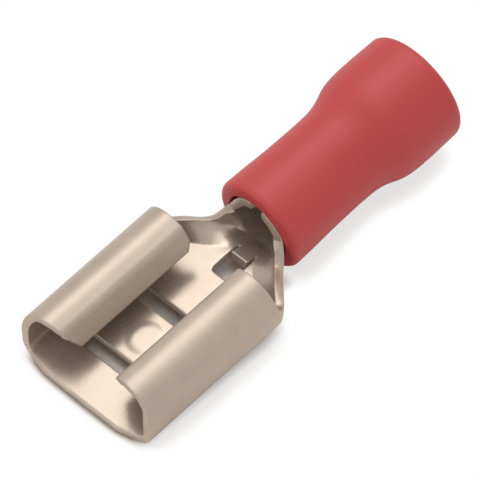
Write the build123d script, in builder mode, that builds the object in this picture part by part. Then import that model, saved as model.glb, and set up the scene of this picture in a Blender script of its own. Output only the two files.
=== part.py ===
from build123d import *
from math import cos, radians, sin, tan
import os

# Insulated female spade terminal for a flat 6.3 x 0.8 mm tab, in millimetres.
# X runs from the mouth to the wire end and Z up from the underside of the floor. Y = 0 is the
# plane of symmetry, and only the tab stop lies a little beside it. The terminal is one folded
# stamping, and the sleeve is one moulding.

# Sheet, and the tab that it takes
sheet = 0.4
tab_thickness = 0.8
tab_clearance = 0.07

# Receptacle: flat floor and two rolled wings
receptacle_width = 7.7
receptacle_height = 2.62
receptacle_length = 8.1
lower_bend_radius = 0.65
upper_bend_radius = 1.25
lip_bend_radius = 0.5
top_slope = 20
lip_slope = 54
wing_reach = 2.8

# Slanted front edge of the blank, as set back from the mouth along the fold
mouth_corner_width = 1.55
side_setback = 0.42
shoulder_setback = 0.85
lip_setback = 1.05
lip_lead_in = 0.45
lip_tail_relief = 0.35
floor_lead_in = 0.12

# Cross slots, dimple and tab stop in the floor
slot_width = 0.7
slot_end_margin = 1.55
front_slot_place = 2.33
rear_slot_place = 5.48
dimple_place = 3.9
dimple_diameter = 1.75
dimple_height = 0.12
stop_window_gap = 0.05
stop_window_length = 1.57
stop_window_width = 1.1
stop_window_corner = 0.18
stop_side_shift = -0.12
stop_length = 0.5
stop_width = 0.92
stop_rise = 0.12

# Neck and wire barrel
neck_gap = 0.1
neck_length = 2.4
neck_wall_height = 0.82
neck_wall_step = 0.45
neck_rise_length = 0.7
neck_waist_height = 0.7
neck_rise_height = 1.42
neck_edge_radius = 0.4
neck_flat_power = 4
neck_least_flat = 0.05
neck_step = 0.03
neck_stations = 6
barrel_length = 4.8
barrel_bore = 2.4
barrel_axis_height = 1.12
seam_gap = 0.08
seam_corner = 0.8

# Vinyl sleeve
sleeve_clearance = 0.02
sleeve_gap = 0.04
sleeve_length = 9.78
sleeve_front_diameter = 4.52
sleeve_waist_diameter = 4.3
sleeve_bell_diameter = 5.4
sleeve_rear_diameter = 5.32
sleeve_front_length = 5.4
flare_length = 1.34
flare_radius = 2.8
bell_wall = 0.61
bore_shoulder_gap = 0.3
bore_shoulder_length = 1.4
sleeve_front_edge_radius = 0.29
sleeve_rear_edge_radius = 0.24

# Worked out from the sizes above
half_width = receptacle_width / 2
lip_edge_y = half_width - wing_reach
lip_edge_z = sheet + tab_thickness + tab_clearance + sheet * cos(radians(lip_slope))
barrel_outer_radius = barrel_bore / 2 + sheet
neck_end_radius = barrel_outer_radius - neck_step
floor_half_flat = half_width - lower_bend_radius
mouth_half_flat = half_width - mouth_corner_width
neck_start = receptacle_length + neck_gap
stop_window_front = receptacle_length + stop_window_gap
stop_root = stop_window_front + stop_window_length
barrel_start = neck_start + neck_length
sleeve_start = barrel_start + sleeve_gap
level_in_mouth = sheet + tab_thickness / 2
over = 2 * receptacle_width


def top_line_z(y):
    """Height of the sloping top of a wing, tangent to its upper bend, at y from the middle."""
    rise = sin(radians(top_slope)) * (y - half_width + upper_bend_radius)
    return receptacle_height - upper_bend_radius + (upper_bend_radius + rise) / cos(radians(top_slope))


def half_fold(depth):
    """Corners of one half of the fold, along the face that lies at a depth into the sheet."""
    side = half_width - depth
    drop = depth / cos(radians(top_slope))
    edge_y = lip_edge_y + depth * sin(radians(lip_slope))
    edge_z = lip_edge_z - depth * cos(radians(lip_slope))
    closing_rate = tan(radians(lip_slope)) - tan(radians(top_slope))
    crease_y = edge_y + (top_line_z(edge_y) - drop - edge_z) / closing_rate
    return [
        (side, depth),
        (side, top_line_z(side) - drop),
        (crease_y, top_line_z(crease_y) - drop),
        (edge_y, edge_z),
    ]


def fold_line(depth):
    """One face of the folded sheet, from the left lip's edge round to the right one's."""
    right = half_fold(depth)
    left = [(-y, z) for y, z in reversed(right)]
    bends = [lower_bend_radius - depth, upper_bend_radius - depth, lip_bend_radius - depth]
    face = FilletPolyline(*left, *right, radius=bends[::-1] + bends)
    return face @ 0, face @ 1


def eased(share):
    """Smooth step from 0 to 1."""
    return share**2 * (3 - 2 * share)


def neck_underside(share):
    """Height of the underside of the neck, from the flat floor down to the barrel."""
    return (barrel_axis_height - neck_end_radius) * eased(share)


def trough_line(width, flat, floor_z, bend_z):
    """One face of the trough: flat bottom, elliptical bends and upright walls, from side to side."""
    bend = {"x_radius": width - flat, "y_radius": bend_z - floor_z, "arc_size": 90}
    left_wall = Line((-width, receptacle_height), (-width, bend_z))
    EllipticalCenterArc((-flat, bend_z), start_angle=180, **bend)
    Line((-flat, floor_z), (flat, floor_z))
    EllipticalCenterArc((flat, bend_z), start_angle=270, **bend)
    right_wall = Line((width, bend_z), (width, receptacle_height))
    return left_wall @ 0, right_wall @ 1


def neck_section(share):
    """Section of the neck, an open trough of even sheet, at a share of its way to the barrel.

    The walls close in along straight lines. The flat of the floor shrinks with a power of what is
    left of the way, and the floor and the bends ease over to the height of the barrel. Its end
    lies a small step inside the barrel's round, so that the two outlines never cross.
    """
    ease = eased(share)
    width = half_width + (neck_end_radius - half_width) * share
    flat = neck_least_flat + (floor_half_flat - neck_least_flat) * (1 - share) ** neck_flat_power
    underside = neck_underside(share)
    bend_z = lower_bend_radius + (barrel_axis_height - lower_bend_radius) * ease
    with BuildSketch(Plane.YZ.offset(neck_start + neck_length * share)) as section:
        with BuildLine():
            outside_ends = trough_line(width, flat, underside, bend_z)
            inside_ends = trough_line(width - sheet, flat, underside + sheet, bend_z)
            Line(outside_ends[0], inside_ends[0])
            Line(outside_ends[1], inside_ends[1])
        make_face()
    return section.sketch


with BuildPart() as receptacle_terminal:
    # Floor and wings, one strip bent up, over and in to the two lips
    with BuildSketch(Plane.YZ):
        with BuildLine():
            outside_ends = fold_line(0)
            inside_ends = fold_line(sheet)
            Line(outside_ends[0], inside_ends[0])
            Line(outside_ends[1], inside_ends[1])
        make_face()
    extrude(amount=neck_start)

    # Neck, a trough that narrows from the floor's width to the barrel
    loft(sections=[neck_section(station / neck_stations) for station in range(neck_stations + 1)])

    # Top edge of the neck's walls, from the wings down and up again to the barrel
    wall_edge = [
        (receptacle_length, over),
        (receptacle_length, neck_wall_height + neck_wall_step),
        (receptacle_length + neck_wall_step, neck_wall_height),
        (barrel_start - neck_rise_length, neck_waist_height),
        (barrel_start, neck_rise_height),
        (barrel_start, over),
    ]
    with BuildSketch(Plane.XZ):
        with BuildLine():
            wall_top = FilletPolyline(*wall_edge, radius=neck_edge_radius)
            Line(wall_top @ 1, wall_top @ 0)
        make_face()
    extrude(amount=over, both=True, mode=Mode.SUBTRACT)

    # Wire barrel, rolled to a butted seam along its top
    with BuildSketch(Plane.YZ.offset(barrel_start)):
        with Locations((0, barrel_axis_height)):
            Circle(barrel_outer_radius)
            Circle(barrel_bore / 2, mode=Mode.SUBTRACT)
    extrude(amount=barrel_length)
    with BuildSketch(Plane.XY.offset(barrel_axis_height)):
        with Locations((barrel_start, 0)):
            Rectangle(barrel_length, seam_gap, align=(Align.MIN, Align.CENTER))
        with BuildLine():
            notch = [(0, -seam_corner), (seam_corner, 0), (0, seam_corner)]
            Polyline(*[(barrel_start + x, y) for x, y in notch], close=True)
        make_face()
    extrude(amount=over, mode=Mode.SUBTRACT)

    # Front edge of the blank, slanted back from the flat of the mouth to the lips
    floor_corner = [
        (0, mouth_half_flat),
        (side_setback, half_width - sheet / 2),
        (side_setback, over),
        (-over, over),
        (-over, mouth_half_flat),
    ]
    side_slant = [
        (side_setback, lower_bend_radius),
        (shoulder_setback, receptacle_height - sheet),
        (shoulder_setback, over),
        (-over, over),
        (-over, lower_bend_radius),
    ]
    wing_top = [
        (shoulder_setback, half_width - sheet),
        (lip_setback, lip_edge_y + lip_lead_in),
        (lip_setback + lip_lead_in, lip_edge_y),
        (lip_setback + lip_lead_in, 0),
        (-over, 0),
        (-over, half_width - sheet),
    ]
    lip_tail = [
        (receptacle_length - lip_tail_relief, lip_edge_y),
        (receptacle_length, lip_edge_y + lip_tail_relief),
        (receptacle_length, 0),
        (receptacle_length - lip_tail_relief, 0),
    ]
    with BuildSketch(Plane.XY.offset(-over)):
        with BuildLine():
            Polyline(*floor_corner, close=True)
        make_face()
        mirror(about=Plane.XZ)
    extrude(amount=over + lower_bend_radius, mode=Mode.SUBTRACT)
    with BuildSketch(Plane.XZ):
        with BuildLine():
            Polyline(*side_slant, close=True)
        make_face()
    extrude(amount=over, both=True, mode=Mode.SUBTRACT)
    with BuildSketch(Plane.XY.offset(level_in_mouth)):
        for outline in (wing_top, lip_tail):
            with BuildLine():
                Polyline(*outline, close=True)
            make_face()
        mirror(about=Plane.XZ)
    extrude(amount=over, mode=Mode.SUBTRACT)

    # Lead-in on the top edge of the mouth
    mouth_edges = receptacle_terminal.edges().filter_by(Axis.Y).group_by(Axis.X)[0]
    chamfer(mouth_edges.sort_by(Axis.Z)[-1], floor_lead_in)

    # Cross slots and the window in front of the tab stop
    with BuildSketch(Plane.XY.offset(level_in_mouth)):
        with Locations((stop_window_front, stop_side_shift)):
            window = Rectangle(stop_window_length, stop_window_width, align=(Align.MIN, Align.CENTER))
        fillet(window.vertices().group_by(Axis.X)[0], stop_window_corner)
        with Locations((front_slot_place, 0), (rear_slot_place, 0)):
            Rectangle(slot_width, receptacle_width - 2 * slot_end_margin)
    extrude(amount=-over, mode=Mode.SUBTRACT)

    # Tab stop, a tongue lanced out of the neck's floor with its free end raised
    root_share = (stop_root - neck_start) / neck_length
    root_z = neck_underside(root_share)
    with BuildSketch(Plane.XZ.offset(-stop_side_shift)):
        with BuildLine():
            tongue = [
                (stop_root - stop_length, stop_rise),
                (stop_root + sheet, root_z),
                (stop_root + sheet, root_z + sheet),
                (stop_root - stop_length, stop_rise + sheet),
            ]
            Polyline(*tongue, close=True)
        make_face()
    extrude(amount=stop_width / 2, both=True)

    # Embossed dimple that springs into the hole of the tab
    dome_radius = (dimple_diameter**2 / 4 + dimple_height**2) / (2 * dimple_height)
    for level, mode in ((sheet, Mode.ADD), (0, Mode.SUBTRACT)):
        with BuildSketch(Plane.XZ):
            with BuildLine():
                dome_top = (dimple_place, level + dimple_height)
                dome_rim = (dimple_place + dimple_diameter / 2, level)
                RadiusArc(dome_top, dome_rim, dome_radius)
                Polyline(dome_rim, (dimple_place, level), dome_top)
            make_face()
        revolve(axis=Axis((dimple_place, 0, 0), (0, 0, 1)), mode=mode)

receptacle_terminal.part.label = "receptacle_terminal"

with BuildPart() as insulating_sleeve:
    # Moulded tube with a tapering front, an S-shaped flare and a straight bell
    bore_radius = barrel_outer_radius + sleeve_clearance
    bell_bore_radius = sleeve_rear_diameter / 2 - bell_wall
    flare_start = sleeve_start + sleeve_front_length
    bore_shoulder_start = barrel_start + barrel_length + bore_shoulder_gap
    sleeve_end = sleeve_start + sleeve_length
    outside = [
        (sleeve_start, bore_radius),
        (sleeve_start, sleeve_front_diameter / 2),
        (flare_start, sleeve_waist_diameter / 2),
        (flare_start + flare_length, sleeve_bell_diameter / 2),
        (sleeve_end, sleeve_rear_diameter / 2),
        (sleeve_end, bell_bore_radius),
    ]
    edge_radii = [sleeve_front_edge_radius, flare_radius, flare_radius, sleeve_rear_edge_radius]
    inside = [
        (bore_shoulder_start + bore_shoulder_length, bell_bore_radius),
        (bore_shoulder_start, bore_radius),
    ]
    with BuildSketch(Plane(origin=(0, 0, barrel_axis_height), x_dir=(1, 0, 0), z_dir=(0, -1, 0))):
        with BuildLine():
            skin = FilletPolyline(*outside, radius=edge_radii)
            Polyline(skin @ 1, *inside, skin @ 0)
        make_face()
    revolve(axis=Axis((0, 0, barrel_axis_height), (1, 0, 0)))

insulating_sleeve.part.label = "insulating_sleeve"

os.makedirs("parts", exist_ok=True)
for piece in (receptacle_terminal, insulating_sleeve):
    export_step(piece.part, f"parts/{piece.part.label}.step")
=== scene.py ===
from math import cos, pi, radians, sin, tan

import bmesh
import bpy
import numpy as np
from mathutils import Euler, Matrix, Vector


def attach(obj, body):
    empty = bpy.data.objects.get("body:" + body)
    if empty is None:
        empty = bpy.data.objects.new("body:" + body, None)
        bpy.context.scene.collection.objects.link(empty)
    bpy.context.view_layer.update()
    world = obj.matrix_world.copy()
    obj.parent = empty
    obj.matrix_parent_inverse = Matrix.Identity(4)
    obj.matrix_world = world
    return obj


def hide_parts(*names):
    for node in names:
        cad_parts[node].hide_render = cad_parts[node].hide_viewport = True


bl_info = {
    "name": "Insulated Female Spade Terminal",
    "version": (1, 0, 0),
    "blender": (4, 5, 0),
    "location": "View3D > Sidebar > Terminal",
    "description": "Builds a folded female spade terminal in a red vinyl sleeve, with its stage",
    "category": "Add Mesh",
}

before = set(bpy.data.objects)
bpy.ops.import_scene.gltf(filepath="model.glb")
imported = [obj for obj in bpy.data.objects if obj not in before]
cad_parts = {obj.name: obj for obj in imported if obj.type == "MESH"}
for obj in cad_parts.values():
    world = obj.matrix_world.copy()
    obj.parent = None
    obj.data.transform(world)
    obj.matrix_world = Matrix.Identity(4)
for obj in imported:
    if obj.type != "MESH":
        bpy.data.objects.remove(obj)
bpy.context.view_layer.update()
MM = 0.001

# Allowance for rounding where places are compared or steps counted
SLACK = 1e-6


# Small helpers

def linear(code):
    """Turns an sRGB hex colour into linear red, green and blue."""
    parts = np.array([int(code[i:i + 2], 16) / 255 for i in (1, 3, 5)])
    low = parts / 12.92
    high = ((parts + 0.055) / 1.055) ** 2.4
    return tuple(float(c) for c in np.where(parts <= 0.04045, low, high))


def add_node(tree, kind, settings=None, inputs=None):
    """Adds a node, sets its properties, and sets or links its inputs by name or number."""
    node = tree.nodes.new(kind)
    for name, value in (settings or {}).items():
        setattr(node, name, value)
    for name, value in (inputs or {}).items():
        if isinstance(value, bpy.types.NodeSocket):
            tree.links.new(value, node.inputs[name])
        else:
            node.inputs[name].default_value = value
    return node


def steps(breaks, pitch):
    """Values through all the breaks, each stretch cut evenly into steps no longer than the pitch."""
    stretches = list(zip(breaks, breaks[1:]))
    counts = [max(1, int(np.ceil((b - a) / pitch - SLACK))) for a, b in stretches]
    runs = [np.linspace(a, b, n + 1)[:-1] for (a, b), n in zip(stretches, counts)]
    return np.append(np.concatenate(runs), breaks[-1])


def curve_through(knots, at):
    """Smooth curve through (place, value) knots: between two knots it is the cubic with the slopes
    that the neighbouring knots give, and past the ends it stays level."""
    place, value = (np.array(column, float) for column in zip(*knots))
    slope = np.gradient(value, place)
    slope[0] = slope[-1] = 0
    at = np.clip(np.asarray(at, float), place[0], place[-1])
    k = np.clip(np.searchsorted(place, at, side="right") - 1, 0, len(place) - 2)
    run = place[k + 1] - place[k]
    t = (at - place[k]) / run
    return ((1 + 2 * t) * (1 - t) ** 2 * value[k] + t * (1 - t) ** 2 * run * slope[k]
            + t ** 2 * (3 - 2 * t) * value[k + 1] + t ** 2 * (t - 1) * run * slope[k + 1])


def smooth_step(t):
    """0 before 0, 1 after 1, and 3t^2 - 2t^3 between."""
    t = np.clip(t, 0, 1)
    return t * t * (3 - 2 * t)


def soft_bump(t):
    """1 at 0, falling as (1 - t^2)^2 to 0 at -1 and 1."""
    return np.clip(1 - t ** 2, 0, None) ** 2


def grid_object(name, points, keep=None, close_columns=False):
    """Makes a mesh object from a grid of points in millimetres, with one four-sided face for each
    kept cell. Points that no face uses are left out."""
    rows, columns = points.shape[:2]
    index = np.arange(rows * columns).reshape(rows, columns)
    if close_columns:
        index = np.hstack([index, index[:, :1]])
    faces = np.stack([index[:-1, :-1], index[:-1, 1:], index[1:, 1:], index[1:, :-1]], axis=-1)
    faces = faces.reshape(-1, 4) if keep is None else faces[keep]
    used, faces = np.unique(faces, return_inverse=True)
    faces = faces.reshape(-1, 4)
    mesh = bpy.data.meshes.new(name)
    mesh.from_pydata((points.reshape(-1, 3)[used] * MM).tolist(), [], faces.tolist())
    mesh.validate()
    mesh.polygons.foreach_set("use_smooth", np.ones(len(mesh.polygons), bool))
    thing = bpy.data.objects.new(name, mesh)
    bpy.context.scene.collection.objects.link(thing)
    return thing


def merge(piece):
    """Joins doubled points and turns all faces outwards."""
    work = bmesh.new()
    work.from_mesh(piece.data)
    bmesh.ops.remove_doubles(work, verts=work.verts, dist=1e-7)
    bmesh.ops.recalc_face_normals(work, faces=work.faces)
    work.to_mesh(piece.data)
    work.free()


# Sizes and finishes that a user would change

def length(name, text, value):
    """A length that is written here in millimetres."""
    return bpy.props.FloatProperty(
        name=name, description=text, default=value * MM, unit="LENGTH", precision=5)


def colour(name, text, code):
    """A colour that is written here as an sRGB hex code."""
    return bpy.props.FloatVectorProperty(
        name=name, description=text, default=linear(code), subtype="COLOR", min=0, max=1)


class TerminalSizes(bpy.types.PropertyGroup):
    sheet: length("Sheet", "Thickness of the tinned sheet", 0.4)
    width: length("Width", "Outside width of the receptacle", 7.7)
    height: length("Height", "Height of the wings over the underside", 2.62)
    body: length("Wing length", "Place of the wings' rear edge", 8.1)
    barrel_end: length("Barrel end", "Place of the wire barrel's end", 15.4)
    edge: length("Edge round", "Rounding of the sheared edges", 0.045)


class TerminalFinishes(bpy.types.PropertyGroup):
    tin: colour("Tin", "Colour of the tin plate", "#B9AA9A")
    vinyl: colour("Vinyl", "Colour of the sleeve", "#BA3C3D")
    floor: colour("Floor", "Colour of the floor", "#DBD2C8")


# Receptacle, drawn by the outside of its sheet in millimetres, as the solid of the same name is.
# Y is positive on the left, seen from the mouth. The bend radii come first: the upper bends are the
# right wing's, rolled a little rounder, and the left one's.

LOWER_BEND = 0.65
UPPER_BENDS = (1.5, 1.28)
LIP_BEND = 0.5
TOP_SLOPE = radians(20)
LIP_SLOPE = radians(60)
LIP_EDGE = 1.1
TAB_ROOM = 0.83
AXIS_HEIGHT = 1.12
BARREL_RADIUS = 1.6
BARREL_FRONT = 10.62
SEAM_HALF_GAP = 0.04

# Height at which the wings are torn from the neck's walls
TEAR_HEIGHT = 1.35

# Size of a cell along the part and across its floor, and the columns from the floor to the tear
# line and from there to the edge
CELL = 0.11
BEND_COLUMNS = 34
WING_COLUMNS = 52

# A row of the barrel inside the sleeve
COVERED_ROW = 11.6

# Place across that stands for every column off the floor, out of reach of what is done to the floor
OFF_FLOOR = 9.0

# Slots, and the tab stop's window and tongue, by their places along and across the floor. The row at
# the wings' rear edge is moved to the window's front, fading out over its reach across and along.
SLOT_END = 2.3
SLOTS = ((1.98, 2.68), (5.13, 5.83))
WINDOW = (8.15, 9.72)
WINDOW_SIDES = (-0.67, 0.43)
WINDOW_CORNER = 0.18
WINDOW_REACH = (0.4, 0.8)
TONGUE_SIDES = (-0.58, 0.34)
TONGUE_TIP = 9.2
TONGUE_LIFT = 0.13

# Dimple, flat on top out to a share of its radius
DIMPLE_PLACE = 3.9
DIMPLE_RADIUS = 0.875
DIMPLE_FLAT = 0.62
DIMPLE_HEIGHT = 0.035

# Set-back of the blank's front edge by distance from the middle, measured round the outside of the
# fold. It fades out over the reach behind the mouth.
FRONT_EDGE = (
    (0, 0), (2.2, 0.02), (3.5, 0.35), (4.2, 0.45), (4.9, 0.55), (5.6, 0.78), (6.2, 0.88), (6.9, 0.9),
    (8.2, 1.07), (8.95, 1.5))
FRONT_REACH = 1.9

# Rear corner cut from the lips: its depth at the edge, and its reach round the fold and along it
TAIL_RELIEF = 0.35
TAIL_ROUND = 0.5
TAIL_REACH = 1.2

# Along the neck, as (place, value) knots: half width, flat of the floor, power of the bend's curve,
# and heights of the underside, of the bend's top and of the wall's edge
NECK_WIDTH = (
    (8.1, 3.85), (8.3, 3.79), (8.55, 3.62), (8.85, 3.34), (9.8, 2.33), (10.3, 1.92), (10.5, 1.74),
    (10.62, 1.61), (10.9, 1.6))
NECK_FLAT = (
    (8.1, 3.2), (8.5, 2.25), (8.9, 1.5), (9.2, 1.0), (9.6, 0.6), (10.1, 0.3), (10.62, 0.0), (10.9, 0.0))
NECK_POWER = ((8.1, 2.0), (8.5, 1.6), (9.6, 1.55), (10.2, 1.7), (10.62, 2.0), (10.9, 2.0))
NECK_UNDERSIDE = (
    (8.1, 0.0), (9.2, 0.0), (9.6, -0.04), (10.0, -0.17), (10.4, -0.39), (10.62, -0.48), (10.9, -0.48))
NECK_BEND = ((8.1, 0.65), (8.5, 0.8), (9.0, 0.92), (9.9, 0.95), (10.3, 1.07), (10.6, 1.12))
NECK_EDGE = (
    (8.1, 1.35), (8.3, 1.08), (8.55, 0.92), (9.2, 0.86), (9.85, 0.74), (10.05, 0.78), (10.3, 1.0),
    (10.62, 1.5), (10.94, 2.1))
CURL_START = 9.9

# The floor's columns draw in over this length behind the wings, to this share of the neck's half
# width
DRAW_IN_LENGTH = 1.2
DRAW_IN_SHARE = 0.62

# Corner cut from the seam at the barrel's front, on the right and on the left
SEAM_CORNER = (0.66, 0.2)
SEAM_CORNER_REACH = 2.0

# The left half of the barrel's front is pressed a little flat: its middle and spread in degrees from
# the top, its depth, the start and run of its fades in and out, and its reach below the axis
PRESSED_ANGLE = 54
PRESSED_SPREAD = 32
PRESSED_DEPTH = 0.1
PRESSED_IN = (10.0, 0.6)
PRESSED_OUT = (10.8, 1.2)
PRESSED_LOW = 0.4


def fold_section(sizes, upper_bend, count=1200):
    """Half of the fold's outside, from the middle of the floor to the lip's edge, as points with
    their distance along it. It is drawn by heading: straight runs keep it, and a bend of radius R
    turns it by 1/R for each millimetre."""
    half, sheet = sizes.width / MM / 2, sizes.sheet / MM
    upper_turn = pi / 2 + TOP_SLOPE
    upper_reach = upper_bend * tan(upper_turn / 2)
    lip_reach = LIP_BEND * tan((LIP_SLOPE - TOP_SLOPE) / 2)
    corner_z = sizes.height / MM - upper_bend + upper_bend * (1 + sin(TOP_SLOPE)) / cos(TOP_SLOPE)
    lip_z = sheet + TAB_ROOM + sheet * cos(LIP_SLOPE)
    over_lip = corner_z - (half - LIP_EDGE) * tan(TOP_SLOPE) - lip_z
    lip_run = over_lip / (tan(LIP_SLOPE) - tan(TOP_SLOPE))
    runs = (
        (half - LOWER_BEND, 0),
        (LOWER_BEND * pi / 2, 1 / LOWER_BEND),
        (corner_z - upper_reach - LOWER_BEND, 0),
        (upper_bend * upper_turn, 1 / upper_bend),
        ((half - LIP_EDGE - lip_run) / cos(TOP_SLOPE) - upper_reach - lip_reach, 0),
        (LIP_BEND * (LIP_SLOPE - TOP_SLOPE), 1 / LIP_BEND),
        (lip_run / cos(LIP_SLOPE) - lip_reach, 0),
    )
    ends = np.append(0, np.cumsum([run for run, _ in runs]))
    headings = np.append(0, np.cumsum([run * bend for run, bend in runs]))
    along = np.linspace(0, ends[-1], count)
    turn = np.interp(along, ends, headings)
    middle = (turn[1:] + turn[:-1]) / 2
    y = np.append(0, np.cumsum(np.cos(middle) * np.diff(along)))
    z = np.append(0, np.cumsum(np.sin(middle) * np.diff(along)))
    return y, z, along


def neck_section(x, count=400):
    """Half of the neck's or barrel's outside at place x: a flat, a bend up to its top, and a wall
    that goes over from upright to the barrel's round. The bend is a quarter of the curve
    u^p + v^p = 1 of the neck's power p, from a round at 2 towards a straight slope at 1. Where the
    wall's edge stays below the bend's top, the width holds at that edge."""
    knots = (NECK_WIDTH, NECK_FLAT, NECK_UNDERSIDE, NECK_BEND, NECK_EDGE, NECK_POWER)
    width, flat, underside, top, edge, power = (float(curve_through(each, x)) for each in knots)
    below = np.clip((top - edge) / (top - underside), 0, 1)
    width = flat + (width - flat) / (1 - below ** power) ** (1 / power)
    angle = np.linspace(0, pi / 2, count)
    rise, drop = np.sin(angle) ** (2 / power), np.abs(np.cos(angle)) ** (2 / power)
    curl = float(smooth_step((x - CURL_START) / (BARREL_FRONT - CURL_START)))
    wall_y = width - curl * BARREL_RADIUS * (1 - np.cos(angle[1:]))
    y = np.concatenate([[0], flat + (width - flat) * rise, wall_y])
    wall_z = top + BARREL_RADIUS * np.sin(angle[1:])
    z = np.concatenate([[underside], top - (top - underside) * drop, wall_z])
    along = np.append(0, np.cumsum(np.hypot(np.diff(y), np.diff(z))))
    return y, z, along


def half_row(x, floor, bend, wing, fold, body):
    """Columns of half a row at place x, outwards: y, z and the distance s from the middle, by
    dividing the floor, the stretch up to the tear line and the stretch beyond it in the same
    shares on each row. Floor columns near the window keep their place across, and those beyond
    them draw in with the neck."""
    if x <= body + SLACK:
        line_y, line_z, along = fold
        # From the middle to a little past the wall's foot, where each height comes once
        wall = slice(0, int(np.argmax(line_y > line_y.max() - 1e-3)) + len(along) // 12)
        tear = float(np.interp(TEAR_HEIGHT, line_z[wall], along[wall]))
        end = along[-1]
        floor_end = SLOT_END
    else:
        line_y, line_z, along = neck_section(x)
        tear = float(np.interp(curve_through(NECK_EDGE, x), line_z[1:], along[1:]))
        end = along[-1] - SEAM_HALF_GAP
        narrowed = min(SLOT_END, DRAW_IN_SHARE * line_y.max())
        floor_end = SLOT_END + (narrowed - SLOT_END) * smooth_step((x - body) / DRAW_IN_LENGTH)
    kept = (WINDOW_SIDES[1] - WINDOW_SIDES[0]) / 1.5
    beyond = np.clip(floor - kept, 0, None)
    squeeze = (floor_end - kept) / (SLOT_END - kept)
    rising = line_y[:int(np.argmax(line_y)) + 1]
    floor_s = np.interp(floor - beyond + beyond * squeeze, rising, along[:len(rising)])
    start = float(np.interp(floor_end, rising, along[:len(rising)]))
    s = np.concatenate([floor_s, start + (tear - start) * bend, tear + (end - tear) * wing])
    return np.interp(s, along, line_y), np.interp(s, along, line_z), s


def sheet_row(x, floor, bend, wing, folds, body):
    """A whole row from the right lip to the left one, of its two halves."""
    right = half_row(x, -floor[floor < 0][::-1], bend, wing, folds[0], body)
    left = half_row(x, floor[floor >= 0], bend, wing, folds[1], body)
    return [np.concatenate([sign * a[::-1], b]) for sign, a, b in zip((-1, 1, 1), right, left)]


def trim_edges(x, s, rows, y, z, body, lip_end):
    """Sets the outline of the blank: the slanted front edge, the relieved rear corners of the lips
    and the corner cut at the barrel's seam, each by moving points along X."""
    x = x + np.interp(s, *zip(*FRONT_EDGE)) * np.clip(1 - rows / FRONT_REACH, 0, 1)
    near_edge = np.clip((s - lip_end + TAIL_ROUND) / TAIL_ROUND, 0, 1)
    near_tail = np.clip((rows - body + TAIL_REACH) / TAIL_REACH, 0, 1)
    x = np.where(rows <= body + SLACK, x - TAIL_RELIEF * (near_edge * near_tail) ** 1.5, x)
    corner = np.where(y < 0, SEAM_CORNER[0], SEAM_CORNER[1])
    near_front = np.clip(1 - (rows - BARREL_FRONT) / SEAM_CORNER_REACH, 0, 1)
    cut = np.clip(corner - np.abs(y), 0, None) * near_front
    return np.where((rows >= BARREL_FRONT - SLACK) & (z > AXIS_HEIGHT), x + cut, x)


def press_barrel(rows, y, z):
    """Presses the left half of the barrel's front towards the axis, by a soft bump over the angle
    from the top that fades in and out along X."""
    over_axis = z - AXIS_HEIGHT
    angle = np.degrees(np.arctan2(y, over_axis))
    fade_in, fade_out = (smooth_step((rows - start) / run) for start, run in (PRESSED_IN, PRESSED_OUT))
    dent = soft_bump((angle - PRESSED_ANGLE) / PRESSED_SPREAD) * (over_axis > -PRESSED_LOW)
    depth = PRESSED_DEPTH * dent * fade_in * (1 - fade_out)
    share = 1 - depth / np.hypot(y, over_axis)
    return y * share, AXIS_HEIGHT + over_axis * share


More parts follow.
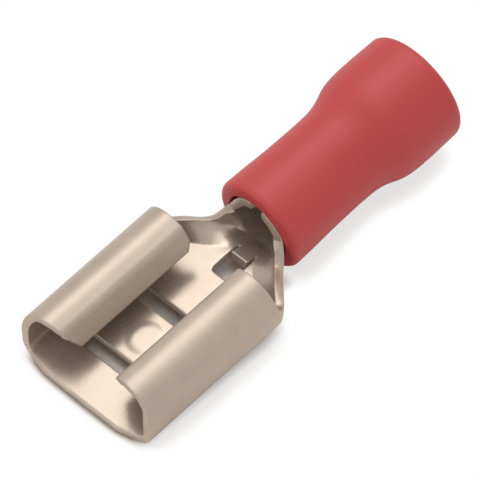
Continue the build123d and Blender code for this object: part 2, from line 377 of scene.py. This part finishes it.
def receptacle_grid(sizes):
    """The whole stamping as one sheet: the point at place x along the part and distance s round its
    section. Columns run from lip to lip round the floor, and rows from the mouth to the barrel's
    end. Cells in the slots, in the stop's window and beside the neck are left out."""
    body, barrel_end = sizes.body / MM, sizes.barrel_end / MM
    right, left = WINDOW_SIDES
    tongue_right, tongue_left = TONGUE_SIDES
    rows = steps([
        0, *SLOTS[0], *SLOTS[1], body, TONGUE_TIP, WINDOW[1], BARREL_FRONT, COVERED_ROW, barrel_end], CELL)
    floor = steps([
        -SLOT_END, right, tongue_right, right + WINDOW_CORNER,
        left - WINDOW_CORNER, tongue_left, left, SLOT_END], CELL)
    bend = steps([0, 1], 1 / BEND_COLUMNS)[1:]
    wing = steps([0, 1], 1 / WING_COLUMNS)[1:]
    folds = [fold_section(sizes, radius) for radius in UPPER_BENDS]
    lines = [sheet_row(x, floor, bend, wing, folds, body) for x in rows]
    y, z, s = (np.array(part) for part in zip(*lines))
    rows = rows[:, None]
    right_end, left_end = (along[-1] for _, _, along in folds)
    lip_end = np.where(y < 0, right_end, left_end)
    x = trim_edges(rows + 0 * y, s, rows, y, z, body, lip_end)
    y, z = press_barrel(rows, y, z)

    # Window's front, by moving the row at the wings' rear edge
    side = len(bend) + len(wing)
    across = np.full(y.shape[1], OFF_FLOOR)
    across[side:side + len(floor)] = floor
    to_side = np.minimum(across - right, left - across)
    inside = np.clip(WINDOW_CORNER - to_side, 0, WINDOW_CORNER)
    rounding = WINDOW_CORNER - np.sqrt(WINDOW_CORNER ** 2 - inside ** 2)
    pull = (WINDOW[0] - body + rounding) * np.clip(1 + to_side / WINDOW_REACH[0], 0, 1)
    x = x + pull * np.clip(1 - np.abs(rows - body) / WINDOW_REACH[1], 0, 1)

    # Dimple and tongue, by raising the floor
    from_dimple = np.hypot(x - DIMPLE_PLACE, y) / DIMPLE_RADIUS
    dimple = 1 - smooth_step((from_dimple - DIMPLE_FLAT) / (1 - DIMPLE_FLAT))
    z = z + DIMPLE_HEIGHT * dimple * (np.abs(across) < SLOT_END)
    up_tongue = (WINDOW[1] - rows) / (WINDOW[1] - TONGUE_TIP)
    on_tongue = (across > tongue_right - SLACK) & (across < tongue_left + SLACK) & (up_tongue < 1 + SLACK)
    z = z + TONGUE_LIFT * np.clip(up_tongue, 0, 1) * on_tongue

    cell_x = (rows[1:] + rows[:-1]) / 2
    cell_y = (across[1:] + across[:-1]) / 2
    in_slot = sum((cell_x > a) & (cell_x < b) & (np.abs(cell_y) < SLOT_END) for a, b in SLOTS) > 0
    in_window = (cell_x > body) & (cell_x < WINDOW[1]) & (cell_y > right) & (cell_y < left)
    tongue = (cell_x > TONGUE_TIP) & (cell_y > tongue_right) & (cell_y < tongue_left)
    column = np.arange(len(cell_y))
    in_wing = (column < len(wing)) | (column >= len(cell_y) - len(wing))
    beside_neck = in_wing & (cell_x > body) & (cell_x < BARREL_FRONT)
    return np.stack([x, y, z], axis=-1), ~in_slot & ~(in_window & ~tongue) & ~beside_neck


def finish_sheet(piece, sizes):
    """Gives the sheet its thickness inwards and rounds its sheared edges, which are the edges that
    only one face of the sheet uses."""
    mesh = piece.data
    side = np.zeros(len(mesh.loops), int)
    mesh.loops.foreach_get("edge_index", side)
    sheared = np.bincount(side, minlength=len(mesh.edges)) == 1
    weight = mesh.attributes.new("bevel_weight_edge", "FLOAT", "EDGE")
    weight.data.foreach_set("value", sheared.astype(float))
    wall = piece.modifiers.new("Sheet", "SOLIDIFY")
    wall.thickness = sizes.sheet
    wall.offset = -1
    wall.use_even_offset = True
    rounding = piece.modifiers.new("Sheared edges", "BEVEL")
    rounding.width = sizes.edge
    rounding.segments = 2
    rounding.limit_method = "WEIGHT"
    rounding.use_clamp_overlap = False
    rounding.loop_slide = False
    piece.modifiers.new("Even shading", "WEIGHTED_NORMAL")


def tinned_sheet(finishes):
    """Brass strip, rolled, tinned and then folded: a warm grey satin metal. Rolling leaves streaks
    along the strip about 0.7 mm apart, drawn wider than real so that they show, and the tin has a
    faint mottle. The floor keeps its rolled sheen, and the tools have dulled the folded wings, so
    the roughness grows with height."""
    material = bpy.data.materials.new("tinned_brass_strip")
    material.use_nodes = True
    tree = material.node_tree
    shader = tree.nodes["Principled BSDF"]
    shader.inputs["Metallic"].default_value = 0.6
    place = add_node(tree, "ShaderNodeTexCoord").outputs["Object"]
    streak_place = add_node(tree, "ShaderNodeMapping", inputs={
        "Vector": place, "Scale": (90, 1400, 1400)}).outputs[0]
    streaks = add_node(tree, "ShaderNodeTexNoise", inputs={
        "Vector": streak_place, "Scale": 1.0, "Detail": 3.0, "Roughness": 0.55}).outputs["Fac"]
    mottle = add_node(tree, "ShaderNodeTexNoise", inputs={
        "Vector": place, "Scale": 900.0, "Detail": 1.5, "Roughness": 0.5}).outputs["Fac"]
    blend = add_node(tree, "ShaderNodeMix", inputs={0: 0.45, 2: streaks, 3: mottle}).outputs[0]
    tone = add_node(tree, "ShaderNodeValToRGB", inputs={"Fac": blend})
    dark, bright = tone.color_ramp.elements
    dark.position = 0.32
    dark.color = (*np.multiply(finishes.tin, (0.93, 0.9, 0.9)), 1)
    bright.position = 0.68
    bright.color = (*np.minimum(np.multiply(finishes.tin, (1.05, 1.05, 1.04)), 1), 1)
    tree.links.new(tone.outputs["Color"], shader.inputs["Base Color"])
    height = add_node(tree, "ShaderNodeSeparateXYZ", inputs={"Vector": place}).outputs["Z"]
    dulled = add_node(tree, "ShaderNodeMapRange", inputs={
        "Value": height, "From Min": 0.5 * MM, "From Max": 1.2 * MM,
        "To Min": 0.27, "To Max": 0.42}).outputs[0]
    uneven = add_node(tree, "ShaderNodeMapRange", inputs={
        "Value": blend, "From Min": 0.3, "From Max": 0.7, "To Min": -0.015, "To Max": 0.02}).outputs[0]
    rough = add_node(tree, "ShaderNodeMath", {"operation": "ADD"}, {0: dulled, 1: uneven})
    tree.links.new(rough.outputs[0], shader.inputs["Roughness"])
    bump = add_node(tree, "ShaderNodeBump", inputs={
        "Height": streaks, "Strength": 0.05, "Distance": 0.02 * MM})
    tree.links.new(bump.outputs["Normal"], shader.inputs["Normal"])
    return material


class TERMINAL_OT_receptacle(bpy.types.Operator):
    """Build the folded receptacle with its neck and wire barrel from one sheet"""
    bl_idname = "terminal.receptacle"
    bl_label = "Receptacle terminal"

    def execute(self, context):
        sizes, finishes = context.scene.terminal_sizes, context.scene.terminal_finishes
        points, keep = receptacle_grid(sizes)
        piece = grid_object("receptacle", points, keep)
        finish_sheet(piece, sizes)
        piece.data.materials.append(tinned_sheet(finishes))
        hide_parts("receptacle_terminal")
        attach(piece, "root")
        return {"FINISHED"}


# Sleeve, as (place, radius) knots of its outside and of its bore in millimetres

SLEEVE_OUTSIDE = (
    (10.64, 2.262), (11.2, 2.255), (12.0, 2.23), (12.9, 2.19), (13.8, 2.17), (15.2, 2.165),
    (15.75, 2.19), (16.2, 2.26), (16.65, 2.4), (17.0, 2.535), (17.4, 2.63), (17.9, 2.675),
    (18.6, 2.69), (19.3, 2.68), (20.42, 2.66))
SLEEVE_BORE = ((10.64, 1.62), (15.7, 1.62), (16.2, 1.72), (16.7, 1.95), (17.1, 2.05), (20.42, 2.05))
FRONT_ROUND = 0.3
REAR_ROUND = 0.26
BORE_ROUND = 0.06

# Steps along the outside and along the bore, and columns round the sleeve
OUTSIDE_STEP = 0.12
BORE_STEP = 0.25
SLEEVE_COLUMNS = 160


def quarter(place, radius, size, start):
    """A quarter round about (place, radius), from a heading of start times 90 degrees. Heading 0
    points along +X, and it goes on clockwise: out of the axis to +X, in to the axis, and back."""
    angle = pi / 2 * (start - np.linspace(0, 1, 10))
    return np.column_stack([place + size * np.cos(angle), radius + size * np.sin(angle)])


def sleeve_profile():
    """Closed profile of the moulding: its outside and its bore by place, with a quarter round at
    each of the four edges and flat end faces between them."""
    start, end = SLEEVE_OUTSIDE[0][0], SLEEVE_OUTSIDE[-1][0]
    outside_x = steps([start + FRONT_ROUND, end - REAR_ROUND], OUTSIDE_STEP)
    bore_x = steps([start + BORE_ROUND, end - BORE_ROUND], BORE_STEP)[::-1]
    outside = np.column_stack([outside_x, curve_through(SLEEVE_OUTSIDE, outside_x)])
    bore = np.column_stack([bore_x, curve_through(SLEEVE_BORE, bore_x)])
    return np.concatenate([
        quarter(outside_x[0], outside[0, 1] - FRONT_ROUND, FRONT_ROUND, 2),
        outside[1:-1],
        quarter(outside_x[-1], outside[-1, 1] - REAR_ROUND, REAR_ROUND, 1),
        quarter(bore_x[0], bore[0, 1] + BORE_ROUND, BORE_ROUND, 0),
        bore[1:-1],
        quarter(bore_x[-1], bore[-1, 1] + BORE_ROUND, BORE_ROUND, -1),
    ])


def vinyl(finishes):
    """Soft PVC, injection moulded: an even red with a dull satin skin, slightly soft to light, whose
    fine grain and faint waviness break up the highlights."""
    material = bpy.data.materials.new("soft_red_vinyl")
    material.use_nodes = True
    tree = material.node_tree
    shader = tree.nodes["Principled BSDF"]
    shader.inputs["Roughness"].default_value = 0.5
    shader.inputs["Subsurface Weight"].default_value = 0.1
    shader.inputs["Subsurface Radius"].default_value = (0.6 * MM, 0.15 * MM, 0.15 * MM)
    shader.inputs["Subsurface Scale"].default_value = 1.0
    place = add_node(tree, "ShaderNodeTexCoord").outputs["Object"]
    cloud, grain = (add_node(tree, "ShaderNodeTexNoise", inputs={
        "Vector": place, "Scale": scale, "Detail": detail}).outputs["Fac"]
        for scale, detail in ((250.0, 3.0), (5000.0, 2.0)))
    tone = add_node(tree, "ShaderNodeValToRGB", inputs={"Fac": cloud})
    dark, bright = tone.color_ramp.elements
    dark.position = 0.35
    dark.color = (*np.multiply(finishes.vinyl, (0.94, 0.9, 0.92)), 1)
    bright.position = 0.65
    bright.color = (*finishes.vinyl, 1)
    tree.links.new(tone.outputs["Color"], shader.inputs["Base Color"])
    waves = add_node(tree, "ShaderNodeBump", inputs={
        "Height": cloud, "Strength": 0.2, "Distance": 0.03 * MM})
    bump = add_node(tree, "ShaderNodeBump", inputs={
        "Height": grain, "Strength": 0.15, "Distance": 0.01 * MM, "Normal": waves.outputs["Normal"]})
    tree.links.new(bump.outputs["Normal"], shader.inputs["Normal"])
    return material


class TERMINAL_OT_sleeve(bpy.types.Operator):
    """Build the moulded sleeve as its profile turned about the barrel's axis"""
    bl_idname = "terminal.sleeve"
    bl_label = "Vinyl sleeve"

    def execute(self, context):
        profile = sleeve_profile()
        profile = np.concatenate([profile, profile[:1]])
        place, radius = profile[:, :1], profile[:, 1:]
        angle = np.linspace(0, 2 * pi, SLEEVE_COLUMNS, endpoint=False)
        y, z = radius * np.sin(angle), AXIS_HEIGHT + radius * np.cos(angle)
        piece = grid_object("sleeve", np.stack([place + 0 * y, y, z], axis=-1), close_columns=True)
        merge(piece)
        piece.data.materials.append(vinyl(context.scene.terminal_finishes))
        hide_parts("insulating_sleeve")
        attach(piece, "root")
        return {"FINISHED"}


# Stage: floor, light and the camera, fitted to the photograph in millimetres and degrees

CAMERA_PLACE = (-51.717, -86.708, 144.603)
CAMERA_TURN = (35.935, 7.116, -44.984)
CAMERA_LENS = 319.98
FLOOR_REACH = 600

# Lamps, each with its direction from the part, and its distance, side and power in metres and watts.
# The receptacle's floor mirrors the key lamp to the camera, the top lamp stands nearly over the part,
# and the front one stands before the mouth, to its left.
LAMPS = (
    ("key_light", (0.344, 0.36, 0.867), 0.3, 0.12, 0.13),
    ("top_light", (0.344, 0.08, 0.936), 0.3, 0.18, 0.15),
    ("front_light", (-0.75, 0.35, 0.56), 0.5, 0.3, 0.3),
)
LOOK_AT = (9.5, 0, 1)
ROOM_LIGHT = 0.8

# Shade on the floor: how far round it the open sky is measured, closely and widely, and the shares
# of open sky over which the close shade clears, the gloss clears and the card's painted shade fades
SHADE_REACH = (1.4, 2.5)
SHADE_CLEARS = (0.6, 0.76)
GLOSS_CLEARS = (0.4, 0.95)
PAINTED_SHADE_CLEARS = (0.35, 0.65)

# Between these distances from the middle, and between these places along the part, the card goes
# over to showing at least this share of white: painted light that glows over the part's shadow there
BESIDE = (2.9, 3.7)
BEHIND = (9.9, 10.7)
PAINTED_LIGHT_SHARE = 0.72


def rest_slope():
    """Slope of the floor that the part rests on, through the mouth's front edge: the steepest line
    from there that no point of the part lies under."""
    steepest = 0
    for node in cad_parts.values():
        place = np.zeros(len(node.data.vertices) * 3)
        node.data.vertices.foreach_get("co", place)
        place = place.reshape(-1, 3)
        behind = place[place[:, 0] > 2 * MM]
        steepest = max(steepest, float((-behind[:, 2] / behind[:, 0]).max()))
    return steepest


def floor_material(finishes):
    """Matt white card: plain white to the camera and in gloss, apart from the soft shade under the
    part and close to it, where little of the room reaches the card. Where it is most shut in, painted
    shade makes the card's own colour darker and browner. Beside and behind the receptacle, painted
    light makes most of it show white over the part's shadow."""
    material = bpy.data.materials.new("white_card")
    material.use_nodes = True
    tree = material.node_tree
    tree.nodes.clear()
    paths = add_node(tree, "ShaderNodeLightPath").outputs
    near_sky, wide_sky = (add_node(tree, "ShaderNodeAmbientOcclusion", {"samples": 12}, {
        "Distance": reach * MM}).outputs["AO"] for reach in SHADE_REACH)
    in_view = add_node(tree, "ShaderNodeMapRange", inputs={
        "Value": near_sky, "From Min": SHADE_CLEARS[0], "From Max": SHADE_CLEARS[1]}).outputs[0]
    in_gloss = add_node(tree, "ShaderNodeMapRange", inputs={
        "Value": wide_sky, "From Min": GLOSS_CLEARS[0], "From Max": GLOSS_CLEARS[1],
        "To Min": 0.1, "To Max": 1.0}).outputs[0]
    # Painted light: beside and behind the receptacle the white glow covers the part's shadow
    place = add_node(tree, "ShaderNodeTexCoord").outputs["Object"]
    place = add_node(tree, "ShaderNodeSeparateXYZ", inputs={"Vector": place}).outputs
    aside = add_node(tree, "ShaderNodeMath", {"operation": "ABSOLUTE"}, {0: place["Y"]}).outputs[0]
    beside, behind = (add_node(tree, "ShaderNodeMapRange", inputs={
        "Value": value, "From Min": low * MM, "From Max": high * MM, "To Max": PAINTED_LIGHT_SHARE}).outputs[0]
        for value, (low, high) in ((aside, BESIDE), (place["X"], BEHIND)))
    beyond = add_node(tree, "ShaderNodeMath", {"operation": "MAXIMUM"}, {0: beside, 1: behind}).outputs[0]
    in_view = add_node(tree, "ShaderNodeMath", {"operation": "MAXIMUM"}, {0: in_view, 1: beyond}).outputs[0]
    gloss = add_node(tree, "ShaderNodeMath", {"operation": "MAXIMUM"}, {
        0: paths["Is Glossy Ray"], 1: paths["Is Transmission Ray"]}).outputs[0]
    gloss = add_node(tree, "ShaderNodeMath", {"operation": "MULTIPLY"}, {0: gloss, 1: in_gloss}).outputs[0]
    share = add_node(tree, "ShaderNodeMath", {"operation": "MULTIPLY_ADD"}, {
        0: paths["Is Camera Ray"], 1: in_view, 2: gloss})
    # Painted shade: the card's colour goes darker and browner where little open sky reaches it
    painted_shade_fade = add_node(tree, "ShaderNodeMapRange", inputs={
        "Value": near_sky, "From Min": PAINTED_SHADE_CLEARS[0], "From Max": PAINTED_SHADE_CLEARS[1]}).outputs[0]
    painted_shade_colour = np.multiply(finishes.floor, (0.5, 0.44, 0.39))
    tone = add_node(tree, "ShaderNodeMix", {"data_type": "RGBA"}, {
        "Factor": painted_shade_fade, 6: (*painted_shade_colour, 1), 7: (*finishes.floor, 1)}).outputs[2]
    card = add_node(tree, "ShaderNodeBsdfDiffuse", inputs={"Color": tone})
    glow = add_node(tree, "ShaderNodeEmission", inputs={"Color": (1, 1, 1, 1), "Strength": 1.0})
    mixed = add_node(tree, "ShaderNodeMixShader", inputs={
        "Fac": share.outputs[0], 1: card.outputs[0], 2: glow.outputs[0]})
    add_node(tree, "ShaderNodeOutputMaterial", inputs={"Surface": mixed.outputs[0]})
    return material


def soft_light(name, direction, distance, size, power):
    """A square area light that looks at the part's middle from a direction."""
    lamp = bpy.data.lights.new(name, "AREA")
    lamp.shape = "SQUARE"
    lamp.size = size
    lamp.energy = power
    thing = bpy.data.objects.new(name, lamp)
    bpy.context.scene.collection.objects.link(thing)
    away = Vector(direction).normalized()
    thing.location = Vector(LOOK_AT) * MM + away * distance
    thing.rotation_euler = away.to_track_quat("Z", "Y").to_euler()


class TERMINAL_OT_stage(bpy.types.Operator):
    """Set up the floor, the soft studio light and the camera"""
    bl_idname = "terminal.stage"
    bl_label = "Stage"

    def execute(self, context):
        scene = context.scene
        side = np.array([-FLOOR_REACH, FLOOR_REACH], float)
        x, y = np.meshgrid(side, side)
        floor = grid_object("floor", np.stack([x, y, -rest_slope() * x], axis=-1))
        floor.data.materials.append(floor_material(scene.terminal_finishes))

        world = bpy.data.worlds.new("white_room")
        scene.world = world
        world.use_nodes = True
        room = world.node_tree.nodes["Background"]
        room.inputs["Color"].default_value = (1, 1, 1, 1)
        room.inputs["Strength"].default_value = ROOM_LIGHT

        for lamp in LAMPS:
            soft_light(*lamp)

        lens = bpy.data.cameras.new("camera")
        lens.sensor_width = 36
        lens.lens = CAMERA_LENS
        lens.clip_start = 0.01
        lens.clip_end = 10
        camera = bpy.data.objects.new("camera", lens)
        scene.collection.objects.link(camera)
        camera.location = Vector(CAMERA_PLACE) * MM
        camera.rotation_euler = Euler([radians(a) for a in CAMERA_TURN])
        scene.camera = camera

        scene.view_settings.view_transform = "Standard"
        return {"FINISHED"}


# Panel and registration

class TERMINAL_PT_panel(bpy.types.Panel):
    """Sizes, finishes and the pieces"""
    bl_idname = "TERMINAL_PT_panel"
    bl_label = "Spade Terminal"
    bl_space_type = "VIEW_3D"
    bl_region_type = "UI"
    bl_category = "Terminal"

    def draw(self, context):
        for group in (context.scene.terminal_sizes, context.scene.terminal_finishes):
            for name in group.__annotations__:
                self.layout.prop(group, name)
        for operator in OPERATORS:
            self.layout.operator(operator.bl_idname)


OPERATORS = (TERMINAL_OT_receptacle, TERMINAL_OT_sleeve, TERMINAL_OT_stage)
CLASSES = (TerminalSizes, TerminalFinishes, *OPERATORS, TERMINAL_PT_panel)


def register():
    for each in CLASSES:
        bpy.utils.register_class(each)
    bpy.types.Scene.terminal_sizes = bpy.props.PointerProperty(type=TerminalSizes)
    bpy.types.Scene.terminal_finishes = bpy.props.PointerProperty(type=TerminalFinishes)


def unregister():
    del bpy.types.Scene.terminal_sizes, bpy.types.Scene.terminal_finishes
    for each in reversed(CLASSES):
        bpy.utils.unregister_class(each)


def main():
    register()
    bpy.ops.terminal.receptacle()
    bpy.ops.terminal.sleeve()
    bpy.ops.terminal.stage()


if __name__ == "__main__":
    main()
